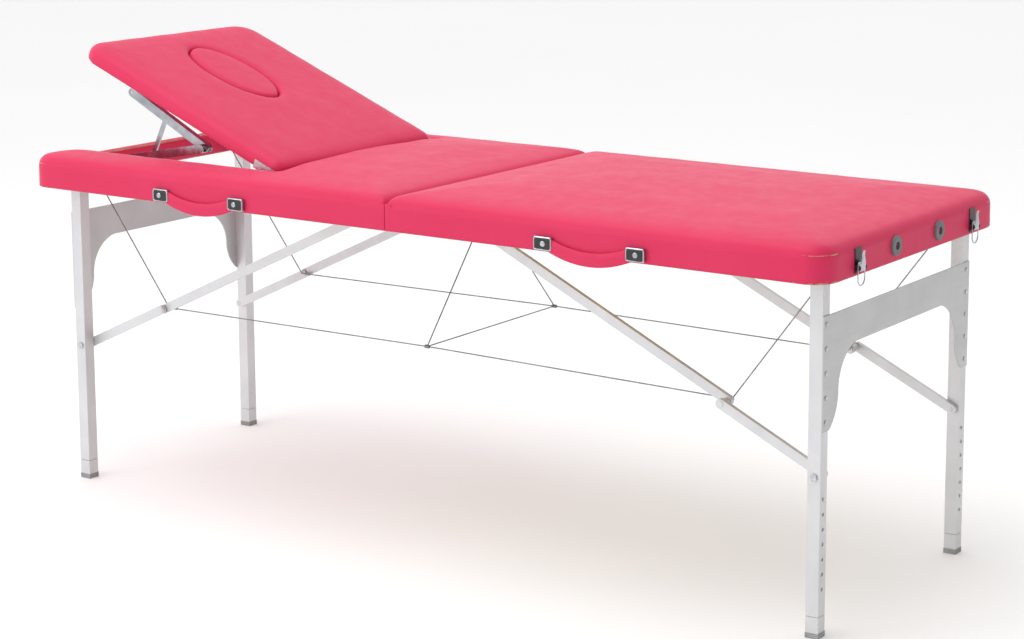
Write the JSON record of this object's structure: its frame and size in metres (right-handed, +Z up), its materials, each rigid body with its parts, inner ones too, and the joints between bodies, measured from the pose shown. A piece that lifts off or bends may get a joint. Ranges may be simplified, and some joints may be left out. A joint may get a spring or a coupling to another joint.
{
  "type": "portable massage table",
  "caption": "Portable folding massage table with a padded two-part top, raised backrest with face hole, adjustable metal legs, folding braces and tension cables.",
  "frame": {"origin": "on the floor under the middle of the table, at the centre of its bounding box", "axes": "+Z up, +X towards the foot end with the headrest sockets, -Y the side with the carrying handles"},
  "size_m": [1.8784, 0.7108, 0.9321],
  "materials": {
    "pink_cover": "soft sheen",
    "foam": "matt",
    "beech_rail": "matt",
    "deck_plywood": "matt",
    "leg_aluminium": "satin",
    "panel_aluminium": "brushed",
    "zinc_steel": "satin",
    "chrome_steel": "polished",
    "cable_steel": "satin",
    "black_rubber": "matt",
    "grey_plastic": "matt",
    "black_plastic": "matt"
  },
  "bodies": {
    "head_half": {"head_rim_rails": "beech_rail", "head_deck_board": "deck_plywood", "head_foam": "foam", "head_cover": "pink_cover", "head_hinge_brackets": "zinc_steel", "head_pivot_pins": "zinc_steel", "centre_hinge_head_leaves": "zinc_steel", "centre_hinge_pins": "zinc_steel", "head_handle_strap": "pink_cover", "head_handle_caps": "chrome_steel", "latch_keepers": "chrome_steel", "backrest_fixed_plates": "zinc_steel", "lifter_base_brackets": "chrome_steel", "head_cables": "cable_steel"},
    "foot_half": {"foot_rim_rails": "beech_rail", "foot_deck_board": "deck_plywood", "foot_foam": "foam", "foot_cover": "pink_cover", "foot_hinge_brackets": "zinc_steel", "foot_pivot_pins": "zinc_steel", "centre_hinge_foot_leaves": "zinc_steel", "foot_handle_strap": "pink_cover", "foot_handle_caps": "chrome_steel", "headrest_sockets": "grey_plastic", "latch_bases": "chrome_steel", "foot_cables": "cable_steel"},
    "backrest": {"backrest_board": "deck_plywood", "backrest_foam": "foam", "backrest_cover": "pink_cover", "backrest_underside_fittings": "zinc_steel"},
    "face_plug_piece": {"face_plug": "pink_cover"},
    "lifter_lower": {"lifter_lower_arms": "chrome_steel"},
    "lifter_upper": {"lifter_upper_arms": "chrome_steel"},
    "lifter_ratchet": {"lifter_ratchet_links": "chrome_steel"},
    "head_legs": {"head_leg_tubes": "leg_aluminium", "head_leg_panel": "panel_aluminium", "head_leg_fasteners": "zinc_steel"},
    "head_upper_brace": {"head_upper_struts": "leg_aluminium"},
    "head_lower_brace": {"head_lower_struts": "leg_aluminium"},
    "head_front_extension": {"head_front_leg_extension": "leg_aluminium", "head_front_rubber_foot": "black_rubber"},
    "head_front_button": {"head_front_snap_button": "zinc_steel"},
    "head_rear_extension": {"head_rear_leg_extension": "leg_aluminium", "head_rear_rubber_foot": "black_rubber"},
    "head_rear_button": {"head_rear_snap_button": "zinc_steel"},
    "foot_legs": {"foot_leg_tubes": "leg_aluminium", "foot_leg_panel": "panel_aluminium", "foot_leg_fasteners": "zinc_steel"},
    "foot_upper_brace": {"foot_upper_struts": "leg_aluminium"},
    "foot_lower_brace": {"foot_lower_struts": "leg_aluminium"},
    "foot_front_extension": {"foot_front_leg_extension": "leg_aluminium", "foot_front_rubber_foot": "black_rubber"},
    "foot_front_button": {"foot_front_snap_button": "zinc_steel"},
    "foot_rear_extension": {"foot_rear_leg_extension": "leg_aluminium", "foot_rear_rubber_foot": "black_rubber"},
    "foot_rear_button": {"foot_rear_snap_button": "zinc_steel"},
    "latch_lever_front_piece": {"latch_lever_front": "chrome_steel"},
    "latch_loop_front_piece": {"latch_loop_front": "chrome_steel"},
    "latch_lever_rear_piece": {"latch_lever_rear": "chrome_steel"},
    "latch_loop_rear_piece": {"latch_loop_rear": "chrome_steel"}
  },
  "joints": [
    {"name": "table_fold", "type": "hinge", "parent": "head_half", "child": "foot_half", "pos_m": [0, 0, 0.63975], "axis": [0, 1, 0], "range_deg": [0, 180], "deforming": ["head_cables", "foot_cables", "foot_handle_strap"]},
    {"name": "head_leg_fold", "type": "hinge", "parent": "head_half", "child": "head_legs", "pos_m": [-0.885, 0, 0.656], "axis": [0, -1, 0], "range_deg": [0, 90]},
    {"name": "head_upper_brace_fold", "type": "hinge", "parent": "head_half", "child": "head_upper_brace", "pos_m": [-0.075, 0, 0.671], "axis": [0, 1, 0], "range_deg": [0, 25.2]},
    {"name": "head_lower_brace_fold", "type": "hinge", "parent": "head_legs", "child": "head_lower_brace", "pos_m": [-0.885, 0, 0.29], "axis": [0, -1, 0], "range_deg": [0, 61]},
    {"name": "head_front_height", "type": "slide", "parent": "head_legs", "child": "head_front_extension", "axis": [0, 0, -1], "range_m": [0, 0.162]},
    {"name": "head_front_button_press", "type": "slide", "parent": "head_front_extension", "child": "head_front_button", "axis": [1, 0, 0], "range_m": [0, 0.0035], "stiffness_N_per_m": 500},
    {"name": "head_rear_height", "type": "slide", "parent": "head_legs", "child": "head_rear_extension", "axis": [0, 0, -1], "range_m": [0, 0.162]},
    {"name": "head_rear_button_press", "type": "slide", "parent": "head_rear_extension", "child": "head_rear_button", "axis": [1, 0, 0], "range_m": [0, 0.0035], "stiffness_N_per_m": 500},
    {"name": "foot_leg_fold", "type": "hinge", "parent": "foot_half", "child": "foot_legs", "pos_m": [0.885, 0, 0.656], "axis": [0, 1, 0], "range_deg": [0, 90]},
    {"name": "foot_upper_brace_fold", "type": "hinge", "parent": "foot_half", "child": "foot_upper_brace", "pos_m": [0.075, 0, 0.671], "axis": [0, -1, 0], "range_deg": [0, 25.2]},
    {"name": "foot_lower_brace_fold", "type": "hinge", "parent": "foot_legs", "child": "foot_lower_brace", "pos_m": [0.885, 0, 0.29], "axis": [0, 1, 0], "range_deg": [0, 61]},
    {"name": "foot_front_height", "type": "slide", "parent": "foot_legs", "child": "foot_front_extension", "axis": [0, 0, -1], "range_m": [0, 0.162]},
    {"name": "foot_front_button_press", "type": "slide", "parent": "foot_front_extension", "child": "foot_front_button", "axis": [-1, 0, 0], "range_m": [0, 0.0035], "stiffness_N_per_m": 500},
    {"name": "foot_rear_height", "type": "slide", "parent": "foot_legs", "child": "foot_rear_extension", "axis": [0, 0, -1], "range_m": [0, 0.162]},
    {"name": "foot_rear_button_press", "type": "slide", "parent": "foot_rear_extension", "child": "foot_rear_button", "axis": [-1, 0, 0], "range_m": [0, 0.0035], "stiffness_N_per_m": 500},
    {"name": "backrest_tilt", "type": "hinge", "parent": "head_half", "child": "backrest", "pos_m": [-0.345, 0, 0.7], "axis": [0, 1, 0], "range_deg": [-22, 18]},
    {"name": "lifter_lower_fold", "type": "hinge", "parent": "head_half", "child": "lifter_lower", "pos_m": [-0.835, 0, 0.681], "axis": [0, -1, 0], "range_deg": [-12, 10]},
    {"name": "lifter_upper_fold", "type": "hinge", "parent": "backrest", "child": "lifter_upper", "pos_m": [-0.78373, 0, 0.82872], "axis": [0, 1, 0], "range_deg": [-12, 10]},
    {"name": "lifter_ratchet_fold", "type": "hinge", "parent": "lifter_upper", "child": "lifter_ratchet", "pos_m": [-0.69429, 0, 0.78341], "axis": [0, -1, 0], "range_deg": [-91, 74]},
    {"name": "face_plug_lift", "type": "slide", "parent": "backrest", "child": "face_plug_piece", "axis": [0.3746, 0, 0.9272], "range_m": [0, 0.06]},
    {"name": "latch_lever_front_open", "type": "hinge", "parent": "foot_half", "child": "latch_lever_front_piece", "pos_m": [0.9375, 0, 0.655], "axis": [0, 1, 0], "range_deg": [0, 95]},
    {"name": "latch_loop_front_swing", "type": "hinge", "parent": "latch_lever_front_piece", "child": "latch_loop_front_piece", "pos_m": [0.9375, 0, 0.664], "axis": [0, -1, 0], "range_deg": [0, 133]},
    {"name": "latch_lever_rear_open", "type": "hinge", "parent": "foot_half", "child": "latch_lever_rear_piece", "pos_m": [0.9375, 0, 0.655], "axis": [0, 1, 0], "range_deg": [0, 95]},
    {"name": "latch_loop_rear_swing", "type": "hinge", "parent": "latch_lever_rear_piece", "child": "latch_loop_rear_piece", "pos_m": [0.9375, 0, 0.664], "axis": [0, -1, 0], "range_deg": [0, 133]}
  ],
  "couplings": [
    {"joint": "head_leg_fold", "follows": "table_fold", "ratio": 0.5},
    {"joint": "head_upper_brace_fold", "follows": "table_fold", "ratio": 0.13994},
    {"joint": "head_lower_brace_fold", "follows": "table_fold", "ratio": 0.33888},
    {"joint": "foot_leg_fold", "follows": "table_fold", "ratio": 0.5},
    {"joint": "foot_upper_brace_fold", "follows": "table_fold", "ratio": 0.13994},
    {"joint": "foot_lower_brace_fold", "follows": "table_fold", "ratio": 0.33888},
    {"joint": "lifter_lower_fold", "follows": "backrest_tilt", "ratio": 0.5425},
    {"joint": "lifter_upper_fold", "follows": "backrest_tilt", "ratio": 0.5425},
    {"joint": "lifter_ratchet_fold", "follows": "backrest_tilt", "ratio": 4.1},
    {"joint": "latch_loop_front_swing", "follows": "latch_lever_front_open", "ratio": 1.4},
    {"joint": "latch_loop_rear_swing", "follows": "latch_lever_rear_open", "ratio": 1.4}
  ]
}
